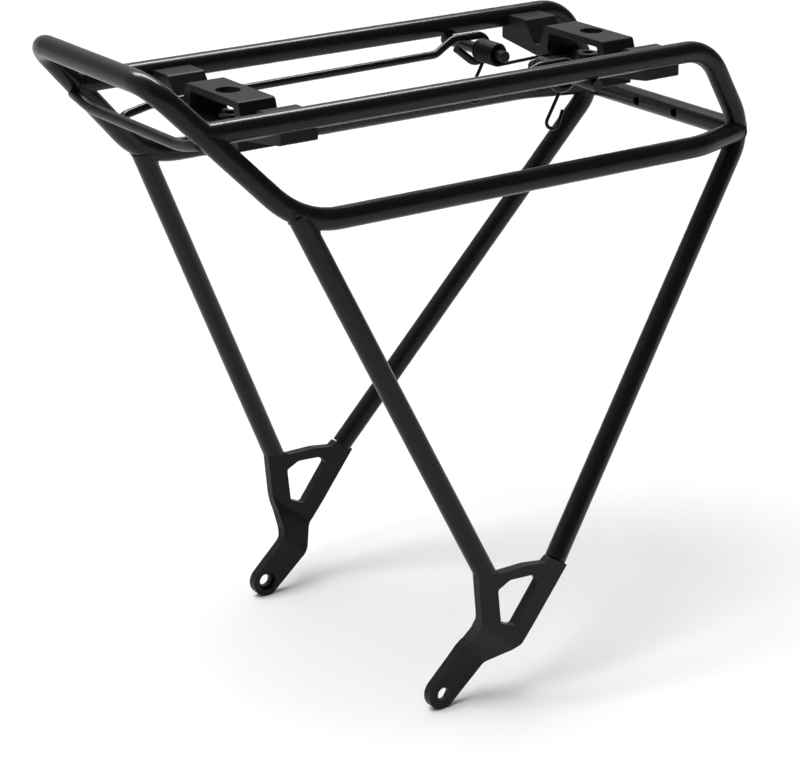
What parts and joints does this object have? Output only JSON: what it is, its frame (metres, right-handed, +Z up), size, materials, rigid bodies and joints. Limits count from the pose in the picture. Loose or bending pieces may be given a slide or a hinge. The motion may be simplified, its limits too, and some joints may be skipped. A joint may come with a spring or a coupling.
{
  "type": "bicycle rear rack",
  "caption": "Welded tube rack that carries luggage above a bicycle's rear wheel, with side rails for bags and a sprung wire bail.",
  "frame": {"origin": "midway between the two dropout eyelets, on their common axis", "axes": "+X towards the rear of the bicycle, +Y towards its right-hand side, +Z up; the deck is level"},
  "size_m": [0.3896, 0.2246, 0.3725],
  "materials": {
    "frame_coat": "satin black powder coat",
    "plate_coat": "satin black powder coat",
    "bracket_coat": "matte black anodised",
    "bush_black": "black zinc",
    "spring_black": "black spring steel",
    "bail_black": "satin black coat on steel wire"
  },
  "bodies": {
    "frame": {"lower_rail_loop": "frame_coat", "deck_tube_left": "frame_coat", "deck_tube_right": "frame_coat", "front_leg_left": "frame_coat", "front_leg_right": "frame_coat", "tail_light_tube": "frame_coat", "front_arch_rod": "frame_coat", "pivot_peg_left": "frame_coat", "pivot_peg_right": "frame_coat", "dropout_plate_left": "plate_coat", "dropout_plate_right": "plate_coat", "front_bracket": "bracket_coat", "rear_bracket": "bracket_coat", "front_latch_bush": "bush_black", "rear_latch_bush": "bush_black", "torsion_spring_left": "spring_black", "torsion_spring_right": "spring_black"},
    "bail": {"clamp_bail": "bail_black"}
  },
  "joints": [
    {"name": "bail_hinge", "type": "hinge", "parent": "frame", "child": "bail", "pos_m": [0.1174, 0, 0.3219], "axis": [0, 1, 0], "range_deg": [0, 100], "stiffness_Nm_per_rad": 1.3, "springref_deg": -57.3}
  ]
}
